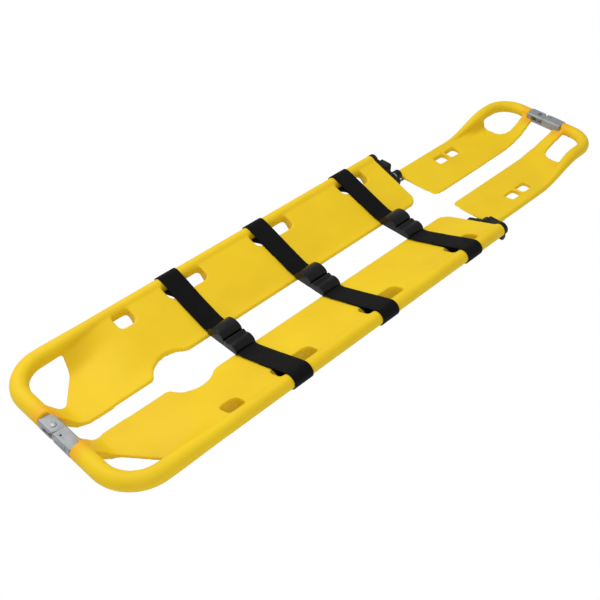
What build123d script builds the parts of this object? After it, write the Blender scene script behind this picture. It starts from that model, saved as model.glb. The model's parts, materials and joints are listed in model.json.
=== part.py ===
from build123d import *
import os

os.makedirs("parts", exist_ok=True)

# A folding, length-adjustable scoop stretcher that splits lengthwise into two halves.
# Millimetres. X runs across (left half at -X), Y from the head to the foot, Z up.
# Lengths along Y are measured from the head end while drawing, and centred at the end.
# Each half is drawn once on the +X side and mirrored for the left.

# overall
half_width = 215.0
foot_half_width = 157.0
main_end = 1088.0
foot_start = 1133.0
foot_end = 1586.0
plate_z = 0.0
clear = 0.5
touch_gap = 0.3

# side grip bar and head loop
grip_radius = 16.0
grip_z = 47.0
loop_radius = 19.0
loop_z = 46.5
head_corner_radius = 98.0
taper_end = 250.0

# sloping blade of the main half
blade_edge = 9.0
blade_thickness = 11.0
blade_flat_x = 52.0
blade_slope = 19.6
gap_half_head = 22.0
gap_half = 40.0
gap_flare = 33.0
neck_opening_y = 303.0
neck_opening_radius = 62.0
head_flat_end = 150.0
slope_start = 262.0
flat_wall_x = 152.0
head_edge_y = 140.0
blade_nose_y = 58.0
inner_corner_radius = 28.0
bevel_length = 30.0
bevel_rise = 5.0

# hand slots and strap slots
slot_inner_x = 148.0
slot_outer_x = 186.0
slot_corner = 8.0
slot_spans = [(266.0, 308.0), (398.0, 504.0), (652.0, 766.0), (938.0, 1028.0)]

# telescopic tube
tube_x = 141.0
tube_z = 17.0
tube_radius = 11.0
tube_wall = 1.5
tube_start = 640.0
tube_end = 1114.0
travel = 350.0
detents = 4
duct_wall = 4.0
duct_start = 612.0
bush_length = 40.0
bush_wall = 2.0
slide_clear = 0.1

# end cap and length lock
cap_thickness = 10.0
cap_inner_x = 108.0
lock_y = 1105.0
lock_housing = 14.0
lock_housing_x = (153.0, 186.0)
lock_housing_z = (8.0, 50.0)
lock_pin_radius = 3.0
lock_travel = 5.0
lock_knob_radius = 8.0
lock_knob_length = 12.0

# fold hinge
hinge_y = 1121.0
hinge_z = 6.0
hinge_pin_radius = 2.5
hinge_barrel = 5.0
knuckle_radius = 13.0
knuckle_end = 1131.0
lug_width = 15.0
ear_thickness = 5.0
ear_gap = 0.4
leaf_length = 62.0
leaf_thickness = 3.0

# foot section
foot_rail_radius = 15.0
foot_loop_z = 45.0
foot_gap_half = 26.0
foot_thickness = 11.0
foot_rise_start = 1340.0
foot_rise_end = 1490.0
foot_blade_end = 1425.0
foot_corner_radius = 76.0
foot_slot_x = (100.0, 126.0)
foot_slot_spans = [(1250.0, 1289.0), (1296.0, 1334.0)]

# couplings at the head and the foot
block_half_length = 50.0
block_front = 2.0
block_back = 34.0
block_low = 35.0
block_high = 58.0
seam_x = -3.0
pivot_x = -20.0
pivot_y = 18.0
pivot_radius = 4.0
tongue_low = 42.0
tongue_high = 52.0
tongue_half_width = 9.0
tongue_tip_x = 30.0
latch_x = 10.0
latch_y = 13.0
latch_radius = 2.2
latch_travel = 4.0
lever_x = (2.0, 38.0)
lever_z = (42.0, 57.0)
lever_travel = 1.4
lever_stem_radius = 1.2
lever_stem_z = 55.2
spigot_radius = 12.0
foot_spigot_radius = 10.0
spigot_length = 38.0
rivet_radius = 2.5
rivet_head = 5.0

# restraint straps
strap_centres = [431.0, 687.0, 973.0]
strap_width = 50.0
strap_thickness = 2.0
strap_clear = 0.5
strap_z = 13.1
strap_bend_x = 61.0
buckle_width = 58.0
buckle_play = 1.2
plug_half = 20.0
plug_low = 17.0
plug_high = 24.0
plug_tip = -25.0


def fused(solids):
    """One solid or compound from a list of overlapping solids."""
    total = solids[0]
    for solid in solids[1:]:
        total = total + solid
    return total.clean()


def block(x_span, y_span, z_span):
    """A box from its lowest and highest coordinates."""
    size = [span[1] - span[0] for span in (x_span, y_span, z_span)]
    centre = [(span[1] + span[0]) / 2 for span in (x_span, y_span, z_span)]
    return Pos(*centre) * Box(*size)


def rod(start, direction, radius, length):
    """A round bar from a start point along a direction."""
    return Solid.make_cylinder(radius, length, Plane(origin=start, z_dir=direction))


def prism(points, y_from, y_to):
    """A profile drawn in X and Z, extruded along Y."""
    face = make_face(Polyline(*[(x, y_from, z) for x, z in points], close=True))
    return extrude(face, amount=y_to - y_from, dir=(0, 1, 0))


def side_prism(points, x_from, x_to):
    """A profile drawn in Y and Z, extruded along X."""
    face = make_face(Polyline(*[(x_from, y, z) for y, z in points], close=True))
    return extrude(face, amount=x_to - x_from, dir=(1, 0, 0))


def slot_cutter(x_span, y_span, z_span, radius):
    """A rounded rectangular hole, cut from above."""
    cutter = block(x_span, y_span, z_span)
    return fillet(cutter.edges().filter_by(Axis.Z), radius)


def slope_height(x):
    """Top of the sloping blade above a distance from the centre line."""
    return blade_edge + (x - blade_flat_x) * math_tan(blade_slope)


def math_tan(degrees):
    """Tangent of an angle in degrees."""
    vector = Vector(1, 0).rotate(Axis.Z, degrees)
    return vector.Y / vector.X


grip_x = half_width - grip_radius
loop_x = half_width - loop_radius
blade_drop = blade_thickness * (1 + math_tan(blade_slope) ** 2) ** 0.5
blade_root_x = half_width - 2 * grip_radius + 1
lowest_slope_x = blade_flat_x + (blade_drop - blade_edge) / math_tan(blade_slope)
duct_radius = tube_radius + duct_wall
cap_screw_places = [(grip_x, grip_z), (120.0, 28.0)]


def slope_profile():
    """Section of the main blade, thin at the gap and rising to the grip bar."""
    return [
        (gap_half_head - 4, plate_z),
        (lowest_slope_x, plate_z),
        (blade_root_x, slope_height(blade_root_x) - blade_drop),
        (blade_root_x, slope_height(blade_root_x)),
        (blade_flat_x, blade_edge),
        (gap_half_head - 4, blade_edge),
    ]


def head_profile():
    """Section of the main blade beside the head: flat and low, with a steep outer wall."""
    return [
        (gap_half_head - 4, plate_z),
        (flat_wall_x + 8, plate_z),
        (blade_root_x + 1, grip_z - 12),
        (blade_root_x + 1, grip_z + 3),
        (flat_wall_x, blade_edge),
        (gap_half_head - 4, blade_edge),
    ]


def section_face(points, y):
    """A blade section as a face standing at one place along the length."""
    return make_face(Polyline(*[(x, y, z) for x, z in points], close=True))


def head_loop():
    """The tube that runs round the head corner to the coupling."""
    centre_x = half_width - head_corner_radius
    sweep_radius = head_corner_radius - loop_radius
    front = rod((block_half_length, loop_radius, loop_z), (1, 0, 0), loop_radius, centre_x - block_half_length)
    ring = Pos(centre_x, head_corner_radius, loop_z) * Torus(sweep_radius, loop_radius)
    quarter = block((centre_x, half_width + 1), (-1, head_corner_radius), (0, loop_z + 30))
    corner = ring & quarter
    loop_end = Plane(origin=(loop_x, head_corner_radius, loop_z), z_dir=(0, 1, 0))
    grip_start = Plane(origin=(grip_x, taper_end, grip_z), z_dir=(0, 1, 0))
    taper = loft([loop_end * Circle(loop_radius), grip_start * Circle(grip_radius)])
    return [front, corner, taper]


def main_blade():
    """Flat head part, swoop and long sloping part of the main blade."""
    flat = prism(head_profile(), blade_nose_y - 10, head_flat_end)
    swoop = loft([section_face(head_profile(), head_flat_end), section_face(slope_profile(), slope_start)])
    slope = prism(slope_profile(), slope_start, main_end)
    return fused([flat, swoop, slope])


def main_outline():
    """Plan outline of the main blade, extruded to a tall cutter."""
    opening_head = neck_opening_y - (neck_opening_radius ** 2 - gap_half_head ** 2) ** 0.5
    opening_foot = neck_opening_y + (neck_opening_radius ** 2 - gap_half ** 2) ** 0.5
    wall = blade_root_x + 1
    outline = [
        Polyline((gap_flare, blade_nose_y - 6), (gap_half_head - 2, blade_nose_y + 32), (gap_half_head, opening_head)),
        ThreePointArc(
            (gap_half_head, opening_head),
            (neck_opening_radius, neck_opening_y),
            (gap_half, opening_foot),
        ),
        Polyline(
            (gap_half, opening_foot),
            (gap_half, main_end),
            (wall, main_end),
            (wall, head_edge_y + 6),
            (flat_wall_x, head_edge_y - 4),
            (84, 80),
            (78, blade_nose_y - 6),
            (gap_flare, blade_nose_y - 6),
        ),
    ]
    return extrude(closed_face(outline), amount=90, dir=(0, 0, 1))


def closed_face(lines):
    """A flat face from lines and arcs that join up into one loop."""
    return make_face([edge for line in lines for edge in line.edges()])


def joined_path(lines):
    """One wire from lines and arcs that follow each other."""
    return Wire([edge for line in lines for edge in line.edges()])


def neck_plate(head_y, sign, rise):
    """The strut that climbs from the blade to the loop beside a coupling."""
    points = [
        (38, plate_z),
        (10, plate_z),
        (-14, rise - 22),
        (-34, rise - 12),
        (-34, rise + 10),
        (-20, rise + 6),
        (0, 26),
        (20, blade_edge),
        (38, blade_edge),
    ]
    return side_prism([(head_y + sign * y, z) for y, z in points], gap_flare, 78)


def tube_duct():
    """Duct under the blade that the telescopic tube slides in."""
    barrel = rod((tube_x, duct_start, tube_z), (0, 1, 0), duct_radius, main_end - duct_start)
    web_top = slope_height(tube_x) - blade_drop + 8
    web = block((tube_x - 12, tube_x + 6), (duct_start, main_end), (tube_z, web_top))
    return [barrel, web]


def end_bevel(y_from, y_to, x_from, x_to):
    """Wedge that thins an end edge from below, so that the fold has room."""
    points = [(y_from, -1), (y_from, bevel_rise), (y_to, 0), (y_to, -1)]
    return side_prism(points, x_from, x_to)


def main_panel():
    """The moulded main half on the +X side."""
    blade = main_blade() & main_outline()
    blade = fillet_where(blade, inner_corner_radius, (gap_half, main_end))
    for y_span in slot_spans:
        blade = blade - slot_cutter((slot_inner_x, slot_outer_x), y_span, (28, 90), slot_corner)
    grip = rod((grip_x, taper_end, grip_z), (0, 1, 0), grip_radius, main_end - taper_end)
    panel = fused([blade, neck_plate(68, 1, loop_z)] + tube_duct() + head_loop() + [grip])
    bore = rod((tube_x, duct_start - 1, tube_z), (0, 1, 0), tube_radius + clear, main_end)
    bush = rod((tube_x, main_end - bush_length, tube_z), (0, 1, 0), tube_radius + slide_clear + bush_wall, bush_length)
    spigot = rod((block_half_length, loop_radius, loop_z), (1, 0, 0), spigot_radius, spigot_length)
    panel = panel - bore - bush - spigot
    for rivet in coupling_rivets(loop_radius, loop_z, loop_radius, 1):
        panel = panel - rivet
    for screw in cap_screws():
        panel = panel - screw
    return panel - end_bevel(main_end, main_end - bevel_length, gap_half_head, half_width)


def fillet_where(solid, radius, place):
    """Round the upright edges that stand at one place in plan."""
    chosen = [
        edge
        for edge in solid.edges()
        if all(abs(edge.position_at(t).X - place[0]) < 0.2 and abs(edge.position_at(t).Y - place[1]) < 0.2 for t in (0, 1))
    ]
    return fillet(chosen, radius) if chosen else solid


def end_cap():
    """Black moulded cap on the far end of the main half, with the tube bush and the lock housing."""
    far = main_end + cap_thickness
    section = prism(slope_profile(), main_end, far)
    section = section & block((cap_inner_x, half_width), (main_end, far), (0, 90))
    grip = rod((grip_x, main_end, grip_z), (0, 1, 0), grip_radius, cap_thickness)
    boss = rod((tube_x, main_end, tube_z), (0, 1, 0), duct_radius, cap_thickness)
    web_top = slope_height(tube_x) - 3
    web = block((tube_x - 12, tube_x + 12), (main_end, far), (tube_z, web_top))
    bush_outer = tube_radius + slide_clear + bush_wall
    bush = rod((tube_x, main_end - bush_length, tube_z), (0, 1, 0), bush_outer, bush_length)
    housing = block(lock_housing_x, (main_end, far + lock_housing), lock_housing_z)
    housing = fillet(housing.edges().filter_by(Axis.Y), 4)
    cap = fused([section, grip, boss, web, bush, housing])
    cap = cap - rod((tube_x, main_end - bush_length - 1, tube_z), (0, 1, 0), tube_radius + slide_clear, 120)
    pin_bore = rod((tube_x, lock_y, tube_z), (1, 0, 0), lock_pin_radius + slide_clear, 80)
    cap = cap - pin_bore
    for x, z in cap_screw_places:
        cap = cap - rod((x, far, z), (0, -1, 0), 3.5, 3) - rod((x, far, z), (0, -1, 0), 1.8, 20)
    return cap - end_bevel(far, far - bevel_length, cap_inner_x, half_width)


def cap_screws():
    """Two screws that hold the end cap."""
    far = main_end + cap_thickness
    screws = []
    for x, z in cap_screw_places:
        head = rod((x, far, z), (0, -1, 0), 3.5, 3)
        shank = rod((x, far - 3, z), (0, -1, 0), 1.8, 22)
        socket = rod((x, far, z), (0, -1, 0), 1.5, 1.5)
        screws.append(head + shank - socket)
    return screws


def lock_pin():
    """Steel pin of the length lock, drawn pulled out of the tube."""
    tip = tube_x + tube_radius + touch_gap
    end = lock_housing_x[1] + lock_travel + 4
    return rod((tip, lock_y, tube_z), (1, 0, 0), lock_pin_radius, end - tip)


def lock_knob():
    """Knob pressed on the outer end of the lock pin."""
    start = lock_housing_x[1] + lock_travel + touch_gap
    knob = rod((start, lock_y, tube_z), (1, 0, 0), lock_knob_radius, lock_knob_length)
    knob = fillet(knob.edges().filter_by(GeomType.CIRCLE), 1.5)
    end = lock_housing_x[1] + lock_travel + 4
    return knob - rod((start - 1, lock_y, tube_z), (1, 0, 0), lock_pin_radius, end - start + 1)


def slide_tube():
    """Aluminium tube with detent holes on its outer side."""
    length = tube_end - tube_start
    tube = rod((tube_x, tube_start, tube_z), (0, 1, 0), tube_radius, length)
    tube = tube - rod((tube_x, tube_start, tube_z), (0, 1, 0), tube_radius - tube_wall, length)
    for step in range(detents):
        y = lock_y - step * travel / (detents - 1)
        tube = tube - rod((tube_x, y, tube_z), (1, 0, 0), lock_pin_radius + clear, 2 * tube_radius)
    return tube


def tube_plug():
    """Plastic guide plug in the inner end of the tube."""
    flange = rod((tube_x, tube_start - 4, tube_z), (0, 1, 0), tube_radius + slide_clear, 4)
    body = rod((tube_x, tube_start, tube_z), (0, 1, 0), tube_radius - tube_wall, 20)
    return flange + body


def knuckle():
    """Black knuckle plugged into the outer end of the tube, with the hinge lug under it."""
    start = main_end + cap_thickness + lock_housing + touch_gap
    body = rod((tube_x, start, tube_z), (0, 1, 0), knuckle_radius, knuckle_end - start)
    body = fillet(body.edges().filter_by(GeomType.CIRCLE), 4)
    body = body - rod((tube_x, start - 1, tube_z), (0, 1, 0), tube_radius, tube_end - start + 1)
    plug = rod((tube_x, tube_end - 28, tube_z), (0, 1, 0), tube_radius - tube_wall, 30)
    plug = plug - rod((tube_x - 20, lock_y, tube_z), (1, 0, 0), lock_pin_radius + clear, 40)
    half = lug_width / 2
    for side in (-1, 1):
        near = tube_x + side * (half + 0.1)
        away = tube_x + side * 30
        body = body - block((min(near, away), max(near, away)), (start - 1, knuckle_end + 1), (-5, hinge_z + 6.2))
    barrel = rod((tube_x - half, hinge_y, hinge_z), (1, 0, 0), hinge_barrel, lug_width)
    barrel = barrel - rod((tube_x, start - 1, tube_z), (0, 1, 0), tube_radius, tube_end - start + 1)
    whole = fused([body, plug, barrel])
    return whole - rod((tube_x - 40, hinge_y, hinge_z), (1, 0, 0), hinge_pin_radius + slide_clear, 80)


def hinge_pin():
    """Steel pin through the knuckle lug and the ears of the leaf."""
    half = lug_width / 2 + ear_gap + ear_thickness
    shank = rod((tube_x - half, hinge_y, hinge_z), (1, 0, 0), hinge_pin_radius, 2 * half)
    head_a = rod((tube_x - half - 1.5, hinge_y, hinge_z), (1, 0, 0), hinge_pin_radius + 1.5, 1.5)
    head_b = rod((tube_x + half, hinge_y, hinge_z), (1, 0, 0), hinge_pin_radius + 1.5, 1.5)
    return fused([shank, head_a, head_b])


def hinge_leaf():
    """Steel leaf under the foot half, with two ears round the pin."""
    leaf_low = hinge_z - hinge_barrel
    inner = lug_width / 2 + ear_gap
    outer = inner + ear_thickness
    pieces = []
    for side in (-1, 1):
        x_from = tube_x + (inner if side > 0 else -outer)
        ear = rod((x_from, hinge_y, hinge_z), (1, 0, 0), hinge_barrel, ear_thickness)
        arm = block((x_from, x_from + ear_thickness), (hinge_y, foot_start + 8), (leaf_low, leaf_low + leaf_thickness))
        pieces += [ear, arm]
    leaf = block(
        (tube_x - outer, tube_x + outer),
        (foot_start + 4, hinge_y + leaf_length),
        (leaf_low, leaf_low + leaf_thickness),
    )
    whole = fused([leaf] + pieces)
    for y in screw_places():
        whole = whole - rod((tube_x, y, -5), (0, 0, 1), 2.0, 20)
        whole = whole - rod((tube_x, y, -5), (0, 0, 1), 3.6, leaf_low + 6.8)
    return whole - rod((tube_x - 40, hinge_y, hinge_z), (1, 0, 0), hinge_pin_radius, 80)


def screw_places():
    """Where the leaf is screwed to the foot half."""
    return [foot_start + 14, foot_start + 38]


def leaf_screws():
    """Countersunk screws that hold the leaf."""
    leaf_low = hinge_z - hinge_barrel
    screws = []
    for y in screw_places():
        head = rod((tube_x, y, leaf_low + 0.2), (0, 0, 1), 3.6, 1.6)
        screws.append(head + rod((tube_x, y, leaf_low + 0.2), (0, 0, 1), 2.0, 12))
    return screws


def foot_rail():
    """Edge tube of the foot half: low, then rising to the loop at the coupling."""
    x = foot_half_width - foot_rail_radius
    rise = foot_loop_z - foot_rail_radius
    run = foot_rise_end - foot_rise_start
    middle = foot_rise_start + run / 2
    end_y = foot_end - foot_rail_radius
    bend = foot_corner_radius - foot_rail_radius
    low = foot_rail_radius
    path = [
        Line((x, foot_start, low), (x, foot_rise_start, low)),
        Spline(
            (x, foot_rise_start, low),
            (x, middle, low + rise / 2),
            (x, foot_rise_end, foot_loop_z),
            tangents=[(0, 1, 0), (0, 1, 0)],
        ),
        Line((x, foot_rise_end, foot_loop_z), (x, end_y - bend, foot_loop_z)),
        ThreePointArc(
            (x, end_y - bend, foot_loop_z),
            (x - bend * (1 - 0.70710678), end_y - bend * (1 - 0.70710678), foot_loop_z),
            (x - bend, end_y, foot_loop_z),
        ),
        Line((x - bend, end_y, foot_loop_z), (block_half_length, end_y, foot_loop_z)),
    ]
    start = Plane(origin=(x, foot_start, low), z_dir=(0, 1, 0))
    return sweep(sections=start * Circle(foot_rail_radius), path=joined_path(path))


def foot_plate():
    """Blade of the foot half, flat and then climbing to the coupling."""
    top = foot_loop_z + 8
    points = [
        (foot_start, plate_z),
        (foot_start, foot_thickness),
        (foot_blade_end - 5, foot_thickness),
        (foot_blade_end + 65, 24),
        (foot_end - 20, top),
        (foot_end - 20, top - 14),
        (foot_blade_end + 70, 11),
        (foot_blade_end, plate_z),
    ]
    x_outer = foot_half_width - foot_rail_radius
    plate = side_prism(points, foot_gap_half, x_outer)
    wall_points = [
        (foot_rise_start, plate_z),
        (foot_rise_start, foot_rail_radius),
        (foot_rise_end - 75, foot_loop_z / 2 + 8),
        (foot_rise_end - 20, foot_loop_z - 3),
        (foot_rise_end - 20, 16),
        (foot_blade_end + 8, plate_z + 2),
    ]
    wall = side_prism(wall_points, x_outer - 8, x_outer + 6)
    outline = Polyline(
        (foot_gap_half, foot_start),
        (foot_gap_half, foot_end - 96),
        (34, foot_end - block_back),
        (block_half_length, foot_end - block_back),
        (block_half_length, foot_end - 16),
        (60, foot_end - 16),
        (57, foot_end - 42),
        (43, foot_end - 90),
        (70, foot_end - 120),
        (116, foot_end - 129),
        (x_outer + 10, foot_end - 116),
        (x_outer + 10, foot_start),
        close=True,
    )
    cutter = extrude(make_face(outline), amount=90, dir=(0, 0, 1))
    return fused([plate, wall]) & cutter


def foot_panel():
    """The moulded foot half on the +X side."""
    plate = foot_plate()
    plate = fillet_where(plate, 20, (foot_gap_half, foot_start))
    panel = fused([plate, foot_rail()])
    for y_span in foot_slot_spans:
        panel = panel - slot_cutter(foot_slot_x, y_span, (-5, 60), 6)
    spigot = rod((block_half_length, foot_end - foot_rail_radius, foot_loop_z), (1, 0, 0), foot_spigot_radius, spigot_length)
    panel = panel - spigot
    leaf_low = hinge_z - hinge_barrel
    outer = lug_width / 2 + ear_gap + ear_thickness
    leaf_top = leaf_low + leaf_thickness
    pocket = block((tube_x - outer, tube_x + outer), (foot_start - 1, hinge_y + leaf_length), (-1, leaf_top))
    panel = panel - pocket - end_bevel(foot_start, foot_start + bevel_length, foot_gap_half - 1, half_width)
    for y in screw_places():
        panel = panel - rod((tube_x, y, 0), (0, 0, 1), 2.0, leaf_low + 12.2)
    for rivet in foot_rivets():
        panel = panel - rivet
    return panel


def foot_rivets():
    """Rivets of the foot coupling on the +X side."""
    y = foot_end - foot_rail_radius
    return coupling_rivets(y, foot_loop_z, foot_rail_radius, 1)


def coupling_pieces(half_length, spigot_r, spigot_y, spigot_z, tube_r):
    """The pieces of one coupling, drawn at the head end."""
    slot_low = tongue_low - touch_gap
    slot_high = tongue_high + touch_gap
    round_nose = seam_x - pivot_x - touch_gap

    left = block((-half_length, seam_x - touch_gap), (block_front, block_back), (block_low, block_high))
    left = chamfer(left.edges().filter_by(Axis.X), 2.5)
    left = left + rod((-half_length, spigot_y, spigot_z), (-1, 0, 0), spigot_r, spigot_length)
    left = left - block((pivot_x - 16, seam_x + 1), (block_front - 1, block_back + 1), (slot_low, slot_high))
    nose = block((pivot_x, seam_x + 1), (block_front - 1, pivot_y), (block_low - 1, block_high + 1))
    nose = nose - rod((pivot_x, pivot_y, block_low - 2), (0, 0, 1), round_nose, 40)
    left = left - nose - rod((pivot_x, pivot_y, block_low - 1), (0, 0, 1), pivot_radius, 40)
    for rivet in coupling_rivets(spigot_y, spigot_z, tube_r, -1, half_length):
        left = left - rivet

    right = block((seam_x + touch_gap, half_length), (block_front, block_back), (block_low, block_high))
    right = chamfer(right.edges().filter_by(Axis.X), 2.5)
    right = right + rod((half_length, spigot_y, spigot_z), (1, 0, 0), spigot_r, spigot_length)
    side = tongue_half_width + 1.2
    right = right - block((seam_x - 1, tongue_tip_x + 3), (pivot_y - side, pivot_y + side), (slot_low, slot_high))
    right = right - block(lever_x, (block_front - 1, block_front + 2.2), lever_z)
    right = right - rod((latch_x, latch_y, tongue_high), (0, 0, 1), latch_radius + slide_clear, 20)
    right = right - rod((latch_x, block_front, lever_stem_z), (0, 1, 0), lever_stem_radius + slide_clear, 8)
    for rivet in coupling_rivets(spigot_y, spigot_z, tube_r, 1, half_length):
        right = right - rivet

    wide = tongue_half_width
    tongue = block((pivot_x, tongue_tip_x), (pivot_y - wide, pivot_y + wide), (tongue_low, tongue_high))
    tongue = chamfer(tongue.edges().filter_by(Axis.Z).sort_by(Axis.X)[-2:], 4)
    tongue = tongue + rod((pivot_x, pivot_y, tongue_low), (0, 0, 1), wide + 2, tongue_high - tongue_low)
    tongue = tongue - rod((pivot_x, pivot_y, 0), (0, 0, 1), pivot_radius + slide_clear / 2, 80)
    tongue = tongue - rod((latch_x, latch_y, 0), (0, 0, 1), latch_radius + clear, 80)

    pin = rod((pivot_x, pivot_y, block_low), (0, 0, 1), pivot_radius, block_high - block_low)
    pin = pin + rod((pivot_x, pivot_y, block_high), (0, 0, 1), pivot_radius + 1.8, 1.2)
    pin = pin + rod((pivot_x, pivot_y, block_low), (0, 0, -1), pivot_radius + 1.8, 1.2)

    lever = block(
        (lever_x[0] + touch_gap, lever_x[1] - touch_gap),
        (block_front - 2 + lever_travel, block_front + 0.4 + lever_travel),
        (lever_z[0] + touch_gap, lever_z[1] - touch_gap),
    )
    lever = fillet(lever.edges().filter_by(Axis.Y), 1.5)
    lever = lever + rod((latch_x, block_front, lever_stem_z), (0, 1, 0), lever_stem_radius, 7)

    latch = rod((latch_x, latch_y, tongue_high + touch_gap), (0, 0, 1), latch_radius, 5)
    return {
        "coupling_block_left": left,
        "coupling_block_right": right,
        "coupling_tongue": tongue,
        "coupling_pivot": pin,
        "coupling_lever": lever,
        "coupling_latch": latch,
    }


def coupling_rivets(spigot_y, spigot_z, tube_r, sign, half_length=block_half_length):
    """Rivets that hold a spigot in its tube."""
    rivets = []
    for offset in (12.0, 26.0):
        x = sign * (half_length + offset)
        low = spigot_z - tube_r
        shank = rod((x, spigot_y, low + 0.8), (0, 0, 1), rivet_radius, 2 * tube_r - 1.6)
        top = rod((x, spigot_y, spigot_z + tube_r - 0.8), (0, 0, 1), rivet_head, 1.4)
        bottom = rod((x, spigot_y, low - 0.6), (0, 0, 1), rivet_head, 1.4)
        rivets.append(fused([shank, top, bottom]))
    return rivets


def webbing(centre, end_x):
    """One strap half: a loop round the grip bar and a run down to the buckle bar."""
    t = strap_thickness
    y_from = centre - strap_width / 2
    y_to = centre + strap_width / 2
    inner = grip_radius + strap_clear
    ring = rod((grip_x, y_from, grip_z), (0, 1, 0), inner + t, strap_width)
    ring = ring - rod((grip_x, y_from, grip_z), (0, 1, 0), inner, strap_width)
    leave = Vector(0, 1).rotate(Axis.Z, blade_slope + 2)
    low = [
        (end_x, strap_z),
        (strap_bend_x, strap_z),
        (142.0, slope_height(142.0) + strap_clear + 0.1),
        (grip_x + leave.X * inner, grip_z + leave.Y * inner),
    ]
    high = [
        (grip_x + leave.X * (inner + t), grip_z + leave.Y * (inner + t)),
        (142.0 + leave.X * t, slope_height(142.0) + strap_clear + 0.1 + leave.Y * t),
        (strap_bend_x + leave.X * t / 2, strap_z + t),
        (end_x, strap_z + t),
    ]
    return fused([ring, prism(low + high, y_from, y_to)])


def socket_buckle(centre):
    """Female half of the buckle, on the left strap, with room for the plug."""
    low = strap_z - 2.1
    shape = [(-42, low + 3), (-39, low), (5, low), (7, low + 2), (7, 27), (3, 33), (-14, 37), (-31, 33), (-42, 20)]
    half = buckle_width / 2
    body = prism(shape, centre - half, centre + half)
    y_span = (centre - plug_half - buckle_play, centre + plug_half + buckle_play)
    body = body - block((plug_tip - 2, 10), y_span, (plug_low - clear, plug_high + clear))
    strap_span = (centre - strap_width / 2 - clear, centre + strap_width / 2 + clear)
    body = body - block((-50, -29.5), strap_span, (strap_z - 0.4, strap_z + strap_thickness + 0.4))
    for side in (-1, 1):
        notch = rod((-6, centre + side * (half + 6), 0), (0, 0, 1), 10, 60)
        body = body - notch
    return body


def plug_buckle(centre):
    """Male half of the buckle, on the right strap, with two prongs."""
    low = strap_z - 2.1
    shape = [(8, low + 1), (10, low), (45, low), (48, low + 3), (48, 20), (40, 27), (22, 29), (12, 24), (8, 26)]
    half = buckle_width / 2
    body = prism(shape, centre - half, centre + half)
    body = body - block((35.5, 60), (centre - half + 3, centre + half - 3), (strap_z - 0.4, strap_z + 2.4))
    prongs = block((plug_tip, 9), (centre - plug_half, centre + plug_half), (plug_low, plug_high))
    gap = block((plug_tip - 1, 2), (centre - plug_half + 7, centre - 4), (plug_low - 1, plug_high + 1))
    other = block((plug_tip - 1, 2), (centre + 4, centre + plug_half - 7), (plug_low - 1, plug_high + 1))
    return fused([body, prongs]) - gap - other


def write(name, solid, mirrored=False):
    """Centre a piece along the length and save it."""
    if isinstance(solid, list):
        solid = Compound(children=solid)
    if mirrored:
        solid = mirror(solid, about=Plane.YZ)
    placed = Pos(0, -foot_end / 2, 0) * solid
    export_step(placed, "parts/" + name + ".step")


def write_pair(name, solid):
    """Save a piece and its mirror image."""
    write(name + "_right", solid)
    write(name + "_left", solid, True)


def at_foot(solid):
    """Turn a piece drawn at the head end to the foot end."""
    if isinstance(solid, list):
        solid = Compound(children=solid)
    return Pos(0, foot_end, 0) * mirror(solid, about=Plane.XZ)


write_pair("main_panel", main_panel())
write_pair("foot_panel", foot_panel())
write_pair("end_cap", end_cap())
write_pair("cap_screws", cap_screws())
write_pair("slide_tube", slide_tube())
write_pair("tube_plug", tube_plug())
write_pair("knuckle", knuckle())
write_pair("hinge_pin", hinge_pin())
write_pair("hinge_leaf", hinge_leaf())
write_pair("leaf_screws", leaf_screws())
write_pair("lock_pin", lock_pin())
write_pair("lock_knob", lock_knob())

head_pieces = coupling_pieces(block_half_length, spigot_radius, loop_radius, loop_z, loop_radius)
for name, solid in head_pieces.items():
    write("head_" + name, solid)
foot_pieces = coupling_pieces(
    block_half_length,
    foot_spigot_radius,
    foot_rail_radius,
    foot_loop_z,
    foot_rail_radius,
)
for name, solid in foot_pieces.items():
    write("foot_" + name, at_foot(solid))
write_pair("head_rivets", coupling_rivets(loop_radius, loop_z, loop_radius, 1))
write_pair("foot_rivets", foot_rivets())

for number, centre in enumerate(strap_centres, 1):
    write("webbing_right_" + str(number), webbing(centre, 36.0))
    write("webbing_left_" + str(number), webbing(centre, 30.0), True)
    write("buckle_socket_" + str(number), socket_buckle(centre))
    write("buckle_plug_" + str(number), plug_buckle(centre))
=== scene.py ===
import json
import math
import bpy
import bmesh
from mathutils import Matrix, Vector, noise


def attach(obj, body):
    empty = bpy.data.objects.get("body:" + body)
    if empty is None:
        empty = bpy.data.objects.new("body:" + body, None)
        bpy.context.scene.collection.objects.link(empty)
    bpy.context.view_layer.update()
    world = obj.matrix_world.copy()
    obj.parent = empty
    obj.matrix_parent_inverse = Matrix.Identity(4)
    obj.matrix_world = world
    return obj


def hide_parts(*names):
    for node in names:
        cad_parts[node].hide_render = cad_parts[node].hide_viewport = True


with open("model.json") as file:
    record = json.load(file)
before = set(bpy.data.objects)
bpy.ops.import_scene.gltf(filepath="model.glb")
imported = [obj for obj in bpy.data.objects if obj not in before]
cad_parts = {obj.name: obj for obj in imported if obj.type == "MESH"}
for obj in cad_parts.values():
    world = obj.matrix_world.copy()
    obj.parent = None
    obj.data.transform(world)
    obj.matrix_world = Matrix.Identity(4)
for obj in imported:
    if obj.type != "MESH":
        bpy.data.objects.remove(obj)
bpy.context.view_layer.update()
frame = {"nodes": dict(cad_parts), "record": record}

# Lengths and places are millimetres, unless a name or comment says otherwise: X across,
# Y from the head end to the foot end, Z up. mesh_object() turns them into the frame's metres.

half_length = 793.0
millimetre = 0.001


# colours and nodes
def srgb(hex_text):
    """Linear colour of an sRGB hex value."""
    channels = [int(hex_text[i:i + 2], 16) / 255 for i in (1, 3, 5)]
    linear = [c / 12.92 if c <= 0.04045 else ((c + 0.055) / 1.055) ** 2.4 for c in channels]
    return (*linear, 1.0)


def grey(value):
    """A grey for a ramp that drives roughness."""
    return (value, value, value, 1.0)


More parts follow.
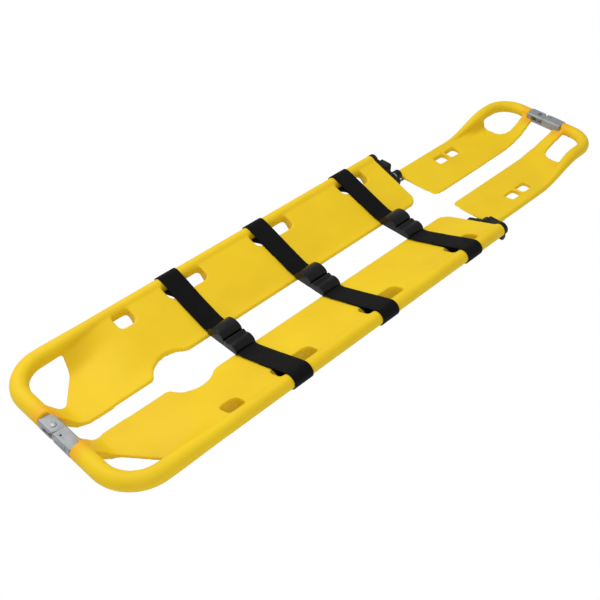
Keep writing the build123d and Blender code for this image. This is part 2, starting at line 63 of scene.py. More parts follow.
def noise_scale(size):
    """Noise scale at which a blotch is about this many millimetres across."""
    return 1 / (size * millimetre)


def wave_scale(spacing):
    """Band wave scale for ribs this far apart; at scale 1 the bands repeat every pi / 10 metres."""
    return math.pi / 10 / (spacing * millimetre)


def add(tree, kind, settings=None, inputs=None, stops=()):
    """One node with its settings, its values or links, and the two stops of a colour ramp."""
    node = tree.nodes.new(kind)
    for name, value in (settings or {}).items():
        setattr(node, name, value)
    for name, value in (inputs or {}).items():
        socket = node.inputs[name]
        if isinstance(value, bpy.types.NodeSocket):
            tree.links.new(value, socket)
        else:
            socket.default_value = value
    for number, (position, colour) in enumerate(stops):
        node.color_ramp.elements[number].position = position
        node.color_ramp.elements[number].color = colour
    return node


def new_material(name):
    """An empty node material and its tree."""
    material = bpy.data.materials.new(name)
    material.use_nodes = True
    material.node_tree.nodes.clear()
    return material, material.node_tree


def moulded_polyethylene(name):
    """Blow-moulded HDPE: waxy yellow, faint mottling from the mould and a fine pebbled skin."""
    material, tree = new_material(name)
    place = add(tree, "ShaderNodeTexCoord").outputs["Object"]
    mottle = add(
        tree, "ShaderNodeTexNoise", inputs={"Vector": place, "Scale": noise_scale(111.0), "Detail": 3.0},
    ).outputs["Fac"]
    colour = add(
        tree,
        "ShaderNodeValToRGB",
        inputs={"Fac": mottle},
        stops=[(0.3, srgb("#E8C008")), (0.7, srgb("#EEC90E"))],
    )
    rough = add(
        tree, "ShaderNodeValToRGB", inputs={"Fac": mottle}, stops=[(0.2, grey(0.56)), (0.8, grey(0.66))],
    )

    # painted glow: the moulding is painted orange where it meets the couplings, within 90 mm of the middle
    parts = add(tree, "ShaderNodeSeparateXYZ", inputs={"Vector": place})
    across = add(tree, "ShaderNodeMath", {"operation": "ABSOLUTE"}, {0: parts.outputs["X"]})
    along = add(tree, "ShaderNodeMath", {"operation": "ABSOLUTE"}, {0: parts.outputs["Y"]})
    near_middle = add(
        tree,
        "ShaderNodeMapRange",
        inputs={
            "Value": across.outputs[0],
            "From Min": 90.0 * millimetre,
            "From Max": 50.0 * millimetre,
            "To Max": 0.55,
        },
    )
    near_end = add(
        tree,
        "ShaderNodeMapRange",
        inputs={
            "Value": along.outputs[0],
            "From Min": 735.0 * millimetre,
            "From Max": 750.0 * millimetre,
        },
    )
    painted_glow = add(
        tree,
        "ShaderNodeMath",
        {"operation": "MULTIPLY"},
        {0: near_middle.outputs["Result"], 1: near_end.outputs["Result"]},
    )
    # painted glow: the orange is mixed into the yellow by that amount
    glow_tinted = add(
        tree,
        "ShaderNodeMix",
        {"data_type": "RGBA"},
        {0: painted_glow.outputs[0], 6: colour.outputs["Color"], 7: srgb("#F0981A")},
    )

    # long shallow waves from the mould, with 1.1 mm pebbles over them
    slow = add(
        tree, "ShaderNodeTexNoise", inputs={"Vector": place, "Scale": noise_scale(45.5), "Detail": 1.0},
    )
    wave = add(
        tree,
        "ShaderNodeBump",
        inputs={"Height": slow.outputs["Fac"], "Strength": 0.12, "Distance": 2.0 * millimetre},
    )
    pebble = add(
        tree, "ShaderNodeTexNoise", inputs={"Vector": place, "Scale": noise_scale(1.11), "Detail": 2.0},
    )
    skin = add(
        tree,
        "ShaderNodeBump",
        inputs={
            "Height": pebble.outputs["Fac"],
            "Strength": 0.12,
            "Distance": 0.3 * millimetre,
            "Normal": wave.outputs["Normal"],
        },
    )
    shader = add(
        tree,
        "ShaderNodeBsdfPrincipled",
        inputs={
            "Base Color": glow_tinted.outputs[2],
            "Roughness": rough.outputs["Color"],
            "IOR": 1.52,
            "Specular IOR Level": 0.3,
            "Normal": skin.outputs["Normal"],
        },
    )
    add(tree, "ShaderNodeOutputMaterial", inputs={"Surface": shader.outputs[0]})
    return material


def moulded_nylon(name, tint, roughness):
    """Injection-moulded nylon or acetal: near-black, with a patchy sheen from the mould's skin."""
    material, tree = new_material(name)
    place = add(tree, "ShaderNodeTexCoord").outputs["Object"]
    grain = add(
        tree, "ShaderNodeTexNoise", inputs={"Vector": place, "Scale": noise_scale(0.714), "Detail": 2.0},
    )
    patch = add(
        tree, "ShaderNodeTexNoise", inputs={"Vector": place, "Scale": noise_scale(16.7), "Detail": 3.0},
    ).outputs["Fac"]
    colour = add(
        tree, "ShaderNodeValToRGB", inputs={"Fac": patch}, stops=[(0.2, srgb(tint)), (0.9, srgb("#101114"))],
    )
    rough = add(
        tree,
        "ShaderNodeValToRGB",
        inputs={"Fac": patch},
        stops=[(0.25, grey(roughness - 0.06)), (0.75, grey(roughness + 0.08))],
    )
    bump = add(
        tree,
        "ShaderNodeBump",
        inputs={"Height": grain.outputs["Fac"], "Strength": 0.25, "Distance": 0.2 * millimetre},
    )
    shader = add(
        tree,
        "ShaderNodeBsdfPrincipled",
        inputs={
            "Base Color": colour.outputs["Color"],
            "Roughness": rough.outputs["Color"],
            "IOR": 1.53,
            "Specular IOR Level": 0.22,
            "Normal": bump.outputs["Normal"],
        },
    )
    add(tree, "ShaderNodeOutputMaterial", inputs={"Surface": shader.outputs[0]})
    return material


def blasted_aluminium(name, tint):
    """Bead-blasted cast aluminium: matt grey, with a fine sparkle and slightly darker cloudy patches."""
    material, tree = new_material(name)
    place = add(tree, "ShaderNodeTexCoord").outputs["Object"]
    blast = add(
        tree, "ShaderNodeTexNoise", inputs={"Vector": place, "Scale": noise_scale(0.625), "Detail": 3.0},
    ).outputs["Fac"]
    cloud = add(
        tree, "ShaderNodeTexNoise", inputs={"Vector": place, "Scale": noise_scale(22.2), "Detail": 4.0},
    )
    colour = add(
        tree,
        "ShaderNodeValToRGB",
        inputs={"Fac": cloud.outputs["Fac"]},
        stops=[(0.25, srgb(tint)), (0.8, srgb("#9EA0A0"))],
    )
    rough = add(
        tree, "ShaderNodeValToRGB", inputs={"Fac": blast}, stops=[(0.3, grey(0.45)), (0.7, grey(0.57))],
    )
    bump = add(
        tree, "ShaderNodeBump", inputs={"Height": blast, "Strength": 0.3, "Distance": 0.2 * millimetre},
    )
    shader = add(
        tree,
        "ShaderNodeBsdfPrincipled",
        inputs={
            "Base Color": colour.outputs["Color"],
            "Metallic": 0.3,
            "Roughness": rough.outputs["Color"],
            "Normal": bump.outputs["Normal"],
        },
    )
    add(tree, "ShaderNodeOutputMaterial", inputs={"Surface": shader.outputs[0]})
    return material


def drawn_metal(name, tint, roughness, stretch):
    """Drawn, turned or blackened metal: even in colour, with fine lines along the draw."""
    material, tree = new_material(name)
    place = add(tree, "ShaderNodeTexCoord").outputs["Object"]
    lines = add(tree, "ShaderNodeMapping", inputs={"Vector": place, "Scale": stretch})
    streak = add(
        tree,
        "ShaderNodeTexNoise",
        inputs={"Vector": lines.outputs["Vector"], "Scale": noise_scale(1.11), "Detail": 3.0},
    ).outputs["Fac"]
    rough = add(
        tree,
        "ShaderNodeValToRGB",
        inputs={"Fac": streak},
        stops=[(0.3, grey(roughness - 0.07)), (0.7, grey(roughness + 0.1))],
    )
    bump = add(
        tree, "ShaderNodeBump", inputs={"Height": streak, "Strength": 0.15, "Distance": 0.1 * millimetre},
    )
    shader = add(
        tree,
        "ShaderNodeBsdfPrincipled",
        inputs={
            "Base Color": srgb(tint),
            "Metallic": 1.0,
            "Roughness": rough.outputs["Color"],
            "Normal": bump.outputs["Normal"],
        },
    )
    add(tree, "ShaderNodeOutputMaterial", inputs={"Surface": shader.outputs[0]})
    return material


def woven_polyester(name):
    """Woven polyester webbing: near-black, ribbed across by the weft, with a soft grazing sheen."""
    material, tree = new_material(name)
    weave = add(tree, "ShaderNodeUVMap", {"uv_map": "weave"}).outputs["UV"]
    # ribs every 3.1 mm and cords every 3.9 mm, about four times the real thread, so that they show
    rib = add(
        tree,
        "ShaderNodeTexWave",
        {"wave_type": "BANDS", "bands_direction": "X", "wave_profile": "SIN"},
        {"Vector": weave, "Scale": wave_scale(3.14), "Distortion": 0.6, "Detail": 1.0},
    )
    cord = add(
        tree,
        "ShaderNodeTexWave",
        {"wave_type": "BANDS", "bands_direction": "Y", "wave_profile": "SIN"},
        {"Vector": weave, "Scale": wave_scale(3.93), "Distortion": 0.4, "Detail": 1.0},
    )
    height = add(
        tree,
        "ShaderNodeMath",
        {"operation": "ADD"},
        {0: rib.outputs["Fac"], 1: cord.outputs["Fac"]},
    )
    bump = add(
        tree,
        "ShaderNodeBump",
        inputs={"Height": height.outputs[0], "Strength": 0.5, "Distance": 0.6 * millimetre},
    )
    place = add(tree, "ShaderNodeTexCoord").outputs["Object"]
    fade = add(
        tree, "ShaderNodeTexNoise", inputs={"Vector": place, "Scale": noise_scale(33.3), "Detail": 4.0},
    )
    colour = add(
        tree,
        "ShaderNodeValToRGB",
        inputs={"Fac": fade.outputs["Fac"]},
        stops=[(0.25, srgb("#040404")), (0.8, srgb("#0B0B0C"))],
    )
    shader = add(
        tree,
        "ShaderNodeBsdfPrincipled",
        inputs={
            "Base Color": colour.outputs["Color"],
            "Roughness": 0.9,
            "Specular IOR Level": 0.15,
            "Sheen Weight": 0.04,
            "Sheen Roughness": 0.45,
            "Normal": bump.outputs["Normal"],
        },
    )
    add(tree, "ShaderNodeOutputMaterial", inputs={"Surface": shader.outputs[0]})
    return material


along_tube = (1.0, 0.02, 1.0)
even = (1.0, 1.0, 1.0)
finishes = {
    "yellow": moulded_polyethylene("moulded_polyethylene_yellow"),
    "black": moulded_nylon("moulded_nylon_black", "#0D0E10", 0.5),
    "buckle": moulded_nylon("moulded_acetal_black", "#060607", 0.3),
    "coupling": blasted_aluminium("cast_aluminium_blasted", "#8C8F90"),
    "lever": blasted_aluminium("cast_aluminium_lever", "#6E7172"),
    "aluminium": drawn_metal("anodised_aluminium_tube", "#B9BBBD", 0.3, along_tube),
    "steel": drawn_metal("zinc_plated_steel", "#85878A", 0.4, even),
    "webbing": woven_polyester("woven_polyester_black"),
}
latch_finish = drawn_metal("blackened_latch_steel", "#1C1C1E", 0.5, even)
slot_of = {part["node"]: part["material_slot"] for part in frame["record"]["subparts"]}
body_of = {
    node: body
    for body, nodes in frame["record"]["behaviour"]["bodies"].items()
    for node in nodes
}


# objects and modifiers
def linked(name, data):
    """A new object, in the scene and at the origin."""
    obj = bpy.data.objects.new(name, data)
    bpy.context.scene.collection.objects.link(obj)
    return obj


def object_from(bm, name):
    """A mesh object from a bmesh that is in the frame's metres already."""
    data = bpy.data.meshes.new(name)
    bm.to_mesh(data)
    bm.free()
    return linked(name, data)


def mesh_object(bm, name):
    """A mesh object from a bmesh in millimetres, put in its place in the frame."""
    bmesh.ops.translate(bm, verts=bm.verts, vec=(0, -half_length, 0))
    bmesh.ops.scale(bm, verts=bm.verts, vec=(millimetre,) * 3)
    return object_from(bm, name)


def drop(obj):
    """Removes an object and its mesh."""
    data = obj.data
    bpy.data.objects.remove(obj)
    bpy.data.meshes.remove(data)


def applied(obj):
    """The object with its modifiers worked into its mesh."""
    bpy.context.view_layer.update()
    done = obj.evaluated_get(bpy.context.evaluated_depsgraph_get())
    data = bpy.data.meshes.new_from_object(done)
    obj.modifiers.clear()
    old = obj.data
    obj.data = data
    data.name = obj.name
    bpy.data.meshes.remove(old)
    return obj


def shaded_smooth(obj):
    """The object with every face shaded smooth."""
    for polygon in obj.data.polygons:
        polygon.use_smooth = True
    return obj


def joined(name, objects):
    """One object from several, their surfaces kept as they are."""
    bm = bmesh.new()
    for obj in objects:
        bm.from_mesh(obj.data)
        drop(obj)
    return object_from(bm, name)


def mirrored(obj, name):
    """A copy on the other side of the centre line."""
    bm = bmesh.new()
    bm.from_mesh(obj.data)
    bmesh.ops.scale(bm, verts=bm.verts, vec=(-1, 1, 1))
    bmesh.ops.reverse_faces(bm, faces=bm.faces)
    return shaded_smooth(object_from(bm, name))


def cut(obj, cutter, operation="DIFFERENCE"):
    """Cuts an object by another, which is used up."""
    modifier = obj.modifiers.new("cut", "BOOLEAN")
    modifier.object = cutter
    modifier.operation = operation
    modifier.solver = "EXACT"
    applied(obj)
    drop(cutter)
    return obj


def rounded(obj, width, segments, angle):
    """Adds a bevel over the edges that turn by more than an angle in degrees."""
    bevel = obj.modifiers.new("edge", "BEVEL")
    bevel.width = width * millimetre
    bevel.segments = segments
    bevel.limit_method = "ANGLE"
    bevel.angle_limit = math.radians(angle)
    return bevel


def moulded(obj, voxel):
    """Melts a joined shape into one blow-moulded skin with soft edges."""
    remesh = obj.modifiers.new("skin", "REMESH")
    remesh.mode = "VOXEL"
    remesh.voxel_size = voxel * millimetre
    remesh.use_smooth_shade = True
    smooth = obj.modifiers.new("soften", "SMOOTH")
    smooth.factor = 0.5
    smooth.iterations = 5
    return applied(obj)


def placed(obj, node):
    """Gives a piece the finish, body and slot of the solid that it stands for."""
    obj.data.materials.clear()
    obj.data.materials.append(finishes[slot_of[node]])
    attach(obj, body_of[node])
    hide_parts(node)


# forms
def soft_step(low, high, value):
    """0 below low, 1 above high and a smooth turn between them."""
    t = min(max((value - low) / (high - low), 0.0), 1.0)
    return t * t * (3 - 2 * t)


def soft_ramp(value, blend):
    """Nothing below zero, the value itself above it, and a round bend between."""
    ratio = value / blend
    if ratio > 30:
        return value
    return blend * math.log1p(math.exp(ratio))


def arc(centre, radius, start, end, steps):
    """Plan points on an arc, angles in degrees from +X."""
    points = []
    for step in range(steps + 1):
        angle = math.radians(start + (end - start) * step / steps)
        points.append((centre[0] + radius * math.cos(angle), centre[1] + radius * math.sin(angle)))
    return points


def flowing(points, steps):
    """A round line through points, with this many steps from each one to the next."""
    ends = [points[0]] + list(points) + [points[-1]]
    line = []
    for a, b, c, d in zip(ends, ends[1:], ends[2:], ends[3:]):
        for step in range(steps):
            t = step / steps
            line.append(tuple(
                0.5 * (
                    2 * q
                    + (r - o) * t
                    + (2 * o - 5 * q + 4 * r - e) * t * t
                    + (3 * q - o - 3 * r + e) * t ** 3
                )
                for o, q, r, e in zip(a, b, c, d)
            ))
    line.append(tuple(points[-1]))
    return line


def drawn_out(bm, travel):
    """Draws the flat outline in a bmesh out into a solid."""
    grown = bmesh.ops.extrude_face_region(bm, geom=bm.faces[:])["geom"]
    far = [item for item in grown if isinstance(item, bmesh.types.BMVert)]
    bmesh.ops.translate(bm, verts=far, vec=travel)
    bmesh.ops.recalc_face_normals(bm, faces=bm.faces)


def plan_prism(points, low, high):
    """An upright block over a plan outline; a third number on a corner cuts it round over that length."""
    bm = bmesh.new()
    corners = [bm.verts.new((point[0], point[1], low)) for point in points]
    bm.faces.new(corners)
    for corner, point in zip(corners, points):
        if len(point) > 2:
            bmesh.ops.bevel(
                bm, geom=[corner], offset=point[2], offset_type="OFFSET", segments=6,
                profile=0.5, affect="VERTICES", material=-1,
            )
    drawn_out(bm, (0, 0, high - low))
    return mesh_object(bm, "plan_prism")


def side_prism(profile, low, high, name):
    """A side-view outline drawn across from one Y to another."""
    bm = bmesh.new()
    bm.faces.new([bm.verts.new((x, low, z)) for x, z in profile])
    drawn_out(bm, (0, high - low, 0))
    return mesh_object(bm, name)


def sheet_solid(x_span, y_span, columns, rows, top, bottom, name):
    """A closed slab over a plan rectangle between a top and a bottom surface."""
    bm = bmesh.new()
    bmesh.ops.create_grid(bm, x_segments=columns, y_segments=rows, size=0.5)
    for vert in bm.verts:
        vert.co.x = x_span[0] + (vert.co.x + 0.5) * (x_span[1] - x_span[0])
        vert.co.y = y_span[0] + (vert.co.y + 0.5) * (y_span[1] - y_span[0])
        vert.co.z = top(vert.co.x, vert.co.y)
    lower = bmesh.ops.extrude_face_region(bm, geom=bm.faces[:])
    for vert in lower["geom"]:
        if isinstance(vert, bmesh.types.BMVert):
            vert.co.z = bottom(vert.co.x, vert.co.y)
    bmesh.ops.recalc_face_normals(bm, faces=bm.faces)
    return mesh_object(bm, name)


def bent_tube(points, radii, name):
    """A round tube along a line of points, each with its radius."""
    curve = bpy.data.curves.new(name, "CURVE")
    curve.dimensions = "3D"
    curve.bevel_depth = millimetre
    curve.bevel_resolution = 10
    curve.use_fill_caps = True
    curve.twist_mode = "MINIMUM"
    spline = curve.splines.new("POLY")
    spline.points.add(len(points) - 1)
    for place, point, radius in zip(spline.points, points, radii):
        place.co = (*((Vector(point) - Vector((0, half_length, 0))) * millimetre), 1.0)
        place.radius = radius
    holder = linked(name, curve)
    bpy.context.view_layer.update()
    data = bpy.data.meshes.new_from_object(holder.evaluated_get(bpy.context.evaluated_depsgraph_get()))
    bpy.data.objects.remove(holder)
    bpy.data.curves.remove(curve)
    bm = bmesh.new()
    bm.from_mesh(data)
    bpy.data.meshes.remove(data)
    bmesh.ops.remove_doubles(bm, verts=bm.verts, dist=1e-6)
    bmesh.ops.recalc_face_normals(bm, faces=bm.faces)
    return object_from(bm, name)


# main halves, drawn as the right one
grip_x, grip_z, grip_radius = 199.0, 47.0, 16.0
loop_x, loop_z, loop_radius = 196.0, 46.5, 19.0
loop_bend, loop_centre_y = 79.0, 98.0
taper_length = 152.0
main_end = 1088.0
blade_thickness = 9.0
blade_slope = math.tan(math.radians(19.6))
heel_x, heel_slope = 150.0, 0.92
tube_x, tube_z, bore_radius = 141.0, 17.0, 12.0
hand_slots = ((266, 308), (398, 504), (652, 766), (938, 1028))
slot_inner_x, slot_outer_x, slot_lean = 146, 188, 14.0


def swoop(y):
    """How far the flat head part has turned into the sloping blade, from 0 to 1."""
    return soft_step(140.0, 268.0, y)


def blade_top(x, y):
    """Top of a main half: flat beside the head, sloping up to the grip bar further down."""
    flat = blade_thickness + 1.28 * soft_ramp(x - 153.0, 5.0)
    sloping = blade_thickness + blade_slope * soft_ramp(x - 52.0, 6.0)
    neck = 1.15 * soft_ramp(74.0 - y, 4.0)
    return flat + (sloping - flat) * swoop(y) + neck


def blade_bottom(x, y):
    """Underside of a main half: flat as far as the heel beside the tube, then up to the grip bar."""
    flat = 1.15 * soft_ramp(x - 160.0, 4.0)
    heel = heel_slope * soft_ramp(x - heel_x, 3.0)
    neck = 0.95 * soft_ramp(64.0 - y, 4.0)
    return flat + (heel - flat) * swoop(y) + neck


def leaning_slot(low, high):
    """Cutter of a hand slot; its inner wall leans outwards below, clear of the tube's bore."""
    corners = [
        (slot_inner_x, low, 12),
        (slot_inner_x, high, 12),
        (slot_outer_x, high, 9),
        (slot_outer_x, low, 9),
    ]
    cutter = plan_prism(corners, -10.0, 62.0)
    for vert in cutter.data.vertices:
        if vert.co.z < 0 and vert.co.x < 170.0 * millimetre:
            vert.co.x += slot_lean * millimetre
    return cutter


def main_half():
    """One moulding: blade, head loop, grip bar and neck."""
    blade = sheet_solid((12.0, 192.0), (28.0, main_end), 40, 110, blade_top, blade_bottom, "blade")

    # neck and flat head part, the scoop opening, the long inner edge, then back along the grip bar
    outline = [(34, 26), (33, 52), (20, 90), (22, 232, 12), (22, 240), (25, 247.5)]
    outline += arc((0, 303), 60, -62.0, 42.0, 18)
    outline += [(41.5, 350), (40, 362), (40, main_end + 1, 29), (191, main_end + 1)]
    outline += [(191, 146), (153, 136, 12), (84, 79, 8), (77, 60), (80, 26)]
    cut(blade, plan_prism(outline, -10.0, 90.0), "INTERSECT")
    for low, high in hand_slots:
        cut(blade, leaning_slot(low, high))
    bore = [(tube_x, y, tube_z) for y in (612, 850, main_end + 2)]
    cut(blade, bent_tube(bore, [bore_radius] * 3, "bore"))

    # the loop from its coupling round the corner, then narrowing into the straight grip bar
    start_y = loop_centre_y - loop_bend
    bend = arc((loop_x - loop_bend, loop_centre_y), loop_bend, -90, 0, 20)
    path = [(50, start_y, loop_z), (84, start_y, loop_z)] + [(x, y, loop_z) for x, y in bend]
    radii = [loop_radius] * len(path)
    for step in range(1, 9):
        t = step / 8
        y = loop_centre_y + taper_length * t
        path.append((loop_x + (grip_x - loop_x) * t, y, loop_z + (grip_z - loop_z) * t))
        radii.append(loop_radius + (grip_radius - loop_radius) * soft_step(0, 1, t))
    path += [(grip_x, y, grip_z) for y in (400, 700, main_end)]
    radii += [grip_radius] * 3
    bar = bent_tube(path, radii, "grip_bar")
    return moulded(joined("main_half", [blade, bar]), 2.6)


right_half = main_half()
left_half = mirrored(right_half, "main_half_left")
right_half.name = "main_half_right"
placed(right_half, "main_panel_right")
placed(left_half, "main_panel_left")


# foot halves, drawn as the right one
foot_start = 1133.0
foot_inner_x, foot_x, foot_radius = 26.0, 142.0, 15.0
foot_bend, foot_centre_y = 61.0, 1510.0
edge_radius, rail_top = 8.0, 45.0
end_bevel, end_rise = 30.0, 5.6


def climb(y):
    """How far the rail has risen from the flat part to the loop, from 0 to 1."""
    return soft_step(1340.0, 1490.0, y)


def rail_height(y):
    """Height of the rail's middle."""
    return edge_radius + (rail_top - edge_radius) * climb(y)


def rail_size(y):
    """Radius of the rail: small along the flat part, a full tube at the loop."""
    return edge_radius + (foot_radius - edge_radius) * climb(y)


def foot_top(x, y):
    """Top of a foot half: flat, then climbing towards the coupling, with a wall up to its rail."""
    taper = 5.0 + 0.086 * (x - foot_inner_x)
    height = taper + 0.157 * soft_ramp(y - 1420.0, 8.0) + 0.238 * soft_ramp(y - 1490.0, 8.0)
    wall = soft_step(120.0, foot_x, x)
    return height + (max(rail_height(y), height) - height) * wall


def foot_bottom(x, y):
    """Underside of a foot half, which follows its top."""
    height = 0.143 * soft_ramp(y - 1425.0, 8.0) + 0.25 * soft_ramp(y - 1495.0, 8.0)
    wall = soft_step(132.0, foot_x, x)
    return height + (max(rail_height(y) - 14.0, height) - height) * wall


def foot_half():
    """One moulding: blade, rail rising to the coupling, and neck."""
    blade = sheet_solid((20.0, 150.0), (foot_start, 1572.0), 30, 60, foot_top, foot_bottom, "foot_blade")

    # the long inner edge, the neck, the opening inside the loop, then back along the rail
    outline = [(foot_inner_x, foot_start - 1, 20), (foot_inner_x, 1488, 30), (34, 1556), (34, 1574)]
    outline += [(66, 1574), (63, 1544, 10), (60, 1492, 14), (74, 1466, 12), (116, 1460, 12)]
    outline += [(134, 1476, 8), (149, 1480), (149, foot_start - 1)]
    cut(blade, plan_prism(outline, -10.0, 90.0), "INTERSECT")
    for low, high in ((1250, 1289), (1296, 1334)):
        corners = [(100, low, 6), (100, high, 6), (126, high, 6), (126, low, 6)]
        cut(blade, plan_prism(corners, -10.0, 90.0))

    # the rail keeps its outer side in line while it grows into the loop
    side = foot_x + foot_radius
    path = [(side - edge_radius, y, edge_radius) for y in (foot_start, 1240)]
    radii = [edge_radius] * 2
    for y in range(1330, 1500, 10):
        path.append((side - rail_size(y), y, rail_height(y)))
        radii.append(rail_size(y))
    bend = arc((foot_x - foot_bend, foot_centre_y), foot_bend, 0, 90, 16)
    path += [(x, y, rail_top) for x, y in bend] + [(50, foot_centre_y + foot_bend, rail_top)]
    radii += [foot_radius] * (len(bend) + 1)
    half = joined("foot_half", [blade, bent_tube(path, radii, "foot_rail")])

    # the underside of the open end is bevelled, to clear the tube when the foot is folded
    for vert in half.data.vertices:
        from_start = vert.co.y / millimetre + half_length - foot_start
        lowest = end_rise * (1 - from_start / end_bevel)
        vert.co.z = max(vert.co.z, lowest * millimetre)
    return moulded(half, 2.4)


right_foot = foot_half()
left_foot = mirrored(right_foot, "foot_half_left")
right_foot.name = "foot_half_right"
placed(right_foot, "foot_panel_right")
placed(left_foot, "foot_panel_left")


# straps
strap_centres = (431.0, 687.0, 973.0)
strap_width, strap_thickness = 50.0, 2.0
strips = 6
right_end_x, left_end_x = 38.0, 32.0


def strap_line(end_x):
    """Side view of one strap: sewn end, round the grip bar, and down to its buckle."""
    ring = grip_radius + strap_thickness / 2 + 0.7
    sewn_end = [(x, blade_top(x, 600) + 2.0) for x in (112, 132)] + [(150, 44.6), (172, 37.6)]
    line = flowing(sewn_end, 5)
    for step in range(19):
        angle = math.radians(-108 + step * 220 / 18)
        line.append((grip_x + ring * math.cos(angle), grip_z + ring * math.sin(angle)))
    reach = [(184.6, 61.2), (145, 46.6), (120, 37.2), (97, 29.2), (74, 21.2), (58, 16.4), (end_x, 14.1)]
    return line + flowing(reach, 6)[1:]


def webbing(line, centre, name, seed):
    """A woven strap along a side-view line, a little uneven as webbing is."""
    bm = bmesh.new()
    run = bm.verts.layers.float.new("run")
    length = 0.0
    row = []
    for index, (x, z) in enumerate(line):
        if index:
            length += math.hypot(x - line[index - 1][0], z - line[index - 1][1])
        vert = bm.verts.new((x, centre - strap_width / 2, z))
        vert[run] = length
        row.append(vert)
    edges = [bm.edges.new(pair) for pair in zip(row, row[1:])]
    for strip in range(strips):
        grown = bmesh.ops.extrude_edge_only(bm, edges=edges)["geom"]
        moved = [item for item in grown if isinstance(item, bmesh.types.BMVert)]
        edges = [
            item for item in grown
            if isinstance(item, bmesh.types.BMEdge) and all(vert in moved for vert in item.verts)
        ]
        bmesh.ops.translate(bm, verts=moved, vec=(0, strap_width / strips, 0))
    uv = bm.loops.layers.uv.new("weave")
    for face in bm.faces:
        for loop in face.loops:
            loop[uv].uv = (loop.vert[run] * millimetre, loop.vert.co.y * millimetre)

    # only the free length, past the grip bar, is uneven
    for vert in bm.verts:
        if vert.co.x < 170 and vert[run] > 120:
            spot = Vector((vert.co.x * 0.02, vert.co.y * 0.03, seed * 7.0))
            vert.co.z += 0.7 * noise.noise(spot)
            vert.co.y += 0.8 * noise.noise(Vector((vert.co.x * 0.012, seed * 3.0, 0.0)))
    bmesh.ops.recalc_face_normals(bm, faces=bm.faces)
    strap = mesh_object(bm, name)
    thick = strap.modifiers.new("thickness", "SOLIDIFY")
    thick.thickness = strap_thickness * millimetre
    thick.offset = 0.0
    rounded(strap, 0.7, 2, 50)
    return shaded_smooth(applied(strap))


for number, centre in enumerate(strap_centres, 1):
    right_strap = webbing(strap_line(right_end_x), centre, "strap_right_%d" % number, number)
    flipped = webbing(strap_line(left_end_x), centre, "strap_mould", number + 5)
    left_strap = mirrored(flipped, "strap_left_%d" % number)
    drop(flipped)
    placed(right_strap, "webbing_right_%d" % number)
    placed(left_strap, "webbing_left_%d" % number)


# rigid pieces with softened edges
def softened(node, width):
    """A piece of the frame with its edges broken as the real casting or moulding has them."""
    bm = bmesh.new()
    bm.from_mesh(frame["nodes"][node].data)
    bmesh.ops.remove_doubles(bm, verts=bm.verts, dist=1e-5)
    bmesh.ops.dissolve_limit(bm, angle_limit=math.radians(1.0), verts=bm.verts, edges=bm.edges)
    piece = shaded_smooth(object_from(bm, node + "_look"))
    rounded(piece, width, 3, 34).harden_normals = True
    applied(piece)
    placed(piece, node)
    return piece


def blind_rivets(node):
    """Rivets set from below: the tube's upper side stays whole."""
    piece = softened(node, 0.6)
    bm = bmesh.new()
    bm.from_mesh(piece.data)
    level = (0.0, 0.0, 45.0 * millimetre)
    whole = bm.verts[:] + bm.edges[:] + bm.faces[:]
    halved = bmesh.ops.bisect_plane(bm, geom=whole, plane_co=level, plane_no=(0, 0, 1), clear_outer=True)
    rim = [item for item in halved["geom_cut"] if isinstance(item, bmesh.types.BMEdge)]
    bmesh.ops.edgeloop_fill(bm, edges=rim)
    bm.to_mesh(piece.data)
    bm.free()


broken_edges = {
    "end_cap": 1.2,
    "knuckle": 1.5,
    "hinge_leaf": 0.5,
    "lock_knob": 0.8,
    "foot_coupling_block": 1.0,
    "head_coupling_block": 1.0,
}
for stem, width in broken_edges.items():
    for side in ("left", "right"):
        softened(stem + "_" + side, width)
for end in ("head", "foot"):
    softened(end + "_coupling_tongue", 0.6)
    softened(end + "_coupling_lever", 0.5)
    softened(end + "_coupling_pivot", 0.5)
    for side in ("left", "right"):
        blind_rivets(end + "_rivets_" + side)


# buckles
socket_side = [
    (-42, 13), (-42.5, 20), (-38, 28), (-28, 35), (-14, 37.5), (-2, 35),
    (5, 30), (7, 24), (7, 14), (4, 11.4), (-38, 11.4),
]
plug_side = [
    (8, 24), (10, 27), (15, 27.6), (20, 25.5), (26, 28), (34, 28.6),
    (42, 25), (47, 19), (48, 13), (45, 11.4), (11, 11.4), (8, 14),
]
buckle_width = 53.0
prong_inner, prong_outer, prong_play = 13, 20.0, 1.2


def rectangle(x_span, z_span):
    """Side-view corners of a box."""
    return [(x_span[0], z_span[0]), (x_span[1], z_span[0]), (x_span[1], z_span[1]), (x_span[0], z_span[1])]


def buckle_half(node, side_view, centre):
    """A domed acetal buckle half; the plug has two prongs and the socket has room for them."""
    half = buckle_width / 2
    outline = flowing(side_view + side_view[:1], 4)[:-1]
    piece = side_prism(outline, centre - half, centre + half, node + "_look")
    rounded(piece, 2.4, 4, 50)
    applied(piece)
    if side_view is socket_side:
        reach = prong_outer + prong_play
        cut(piece, side_prism(rectangle((-27, 9), (16.4, 24.6)), centre - reach, centre + reach, "mouth"))
    else:
        prongs = []
        for side in (-1, 1):
            low, high = sorted((centre + side * prong_inner, centre + side * prong_outer))
            prongs.append(side_prism(rectangle((-25, 9), (17, 24)), low, high, "prong"))
        piece = joined(node + "_look", [piece] + prongs)
    shaded_smooth(piece)
    sharp = piece.modifiers.new("shading", "EDGE_SPLIT")
    sharp.split_angle = math.radians(40)
    applied(piece)
    placed(piece, node)


for number, centre in enumerate(strap_centres, 1):
    buckle_half("buckle_socket_%d" % number, socket_side, centre)
    buckle_half("buckle_plug_%d" % number, plug_side, centre)


# pieces kept from the frame
for name, slot in slot_of.items():
    node = frame["nodes"][name]
    if not node.hide_render:
        node.data.materials.clear()
        node.data.materials.append(latch_finish if name.endswith("_latch") else finishes[slot])


# floor, light and camera
white = (1.0, 1.0, 1.0, 1.0)


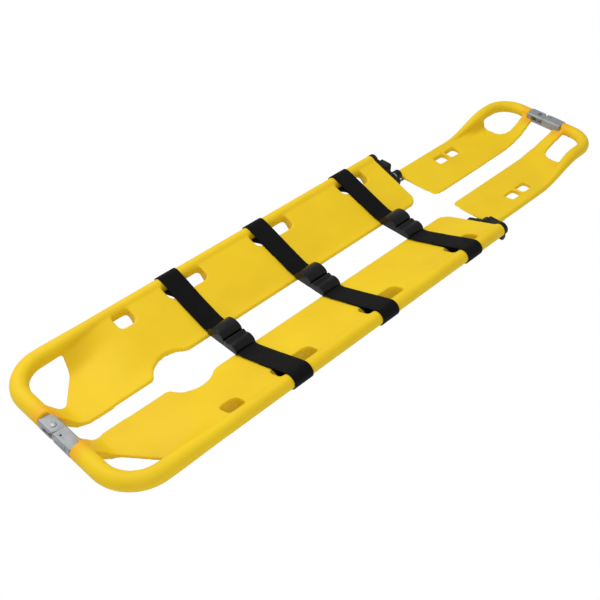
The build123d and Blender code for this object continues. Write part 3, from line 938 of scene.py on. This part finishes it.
def studio_floor():
    """A floor that is plain white to the camera and in reflections, and pale paper for the light that
    bounces off it.
    """
    bm = bmesh.new()
    bmesh.ops.create_grid(bm, x_segments=2, y_segments=2, size=9000.0)
    bmesh.ops.translate(bm, verts=bm.verts, vec=(0, half_length, -0.5))
    floor = mesh_object(bm, "studio_floor")
    material, tree = new_material("studio_paper")
    paths = add(tree, "ShaderNodeLightPath")
    seen = add(
        tree,
        "ShaderNodeMath",
        {"operation": "MAXIMUM"},
        {0: paths.outputs["Is Camera Ray"], 1: paths.outputs["Is Glossy Ray"]},
    )
    paper = add(tree, "ShaderNodeBsdfDiffuse", inputs={"Color": srgb("#F2F2F2")})
    backdrop = add(tree, "ShaderNodeEmission", inputs={"Color": white, "Strength": 1.0})
    mix = add(
        tree,
        "ShaderNodeMixShader",
        inputs={0: seen.outputs[0], 1: paper.outputs[0], 2: backdrop.outputs[0]},
    )
    add(tree, "ShaderNodeOutputMaterial", inputs={"Surface": mix.outputs[0]})
    floor.data.materials.append(material)


def studio_world():
    """Even pale light all round, and white where the camera looks past the floor."""
    world = bpy.data.worlds.new("studio_world")
    bpy.context.scene.world = world
    world.use_nodes = True
    tree = world.node_tree
    tree.nodes.clear()
    paths = add(tree, "ShaderNodeLightPath")
    sky = add(tree, "ShaderNodeBackground", inputs={"Color": (0.95, 0.97, 1.0, 1.0), "Strength": 0.55})
    backdrop = add(tree, "ShaderNodeBackground", inputs={"Color": white, "Strength": 1.0})
    mix = add(
        tree,
        "ShaderNodeMixShader",
        inputs={0: paths.outputs["Is Camera Ray"], 1: sky.outputs[0], 2: backdrop.outputs[0]},
    )
    add(tree, "ShaderNodeOutputWorld", inputs={"Surface": mix.outputs[0]})


def soft_box(name, place, size, power):
    """A square lamp that faces the middle of the object; place and size in metres, power in watts."""
    lamp = bpy.data.lights.new(name, "AREA")
    lamp.shape = "SQUARE"
    lamp.size = size
    lamp.energy = power
    obj = linked(name, lamp)
    obj.location = place
    obj.rotation_euler = (-Vector(place)).to_track_quat("-Z", "Y").to_euler()


def photo_camera():
    """The photograph's view: 45 degrees round, 42 degrees above, from about two metres."""
    azimuth, elevation, roll = (math.radians(angle) for angle in (44.98, 41.75, 0.11))
    focal_pixels, frame_pixels = 946.26, 600
    look = Vector((
        -math.sin(azimuth) * math.cos(elevation),
        math.cos(azimuth) * math.cos(elevation),
        -math.sin(elevation),
    ))
    level = Vector((math.cos(azimuth), math.sin(azimuth), 0.0))
    upright = level.cross(look)
    right = level * math.cos(roll) + upright * math.sin(roll)
    up = upright * math.cos(roll) - level * math.sin(roll)
    data = bpy.data.cameras.new("photo_camera")
    data.sensor_width = 36.0
    data.lens = focal_pixels / frame_pixels * data.sensor_width
    data.clip_start, data.clip_end = 0.05, 50.0
    camera = linked("photo_camera", data)
    place = Vector((1.1029, -0.4689 - half_length * millimetre, 1.3806))
    turn = Matrix((right, up, -look)).transposed()
    camera.matrix_world = Matrix.Translation(place) @ turn.to_4x4()
    bpy.context.scene.camera = camera


studio_floor()
studio_world()
soft_box("key_box", (-1.6, -0.6, 2.6), 1.8, 55.0)
soft_box("fill_box", (2.2, -1.4, 2.0), 2.0, 18.0)
photo_camera()
bpy.context.scene.view_settings.view_transform = "Standard"
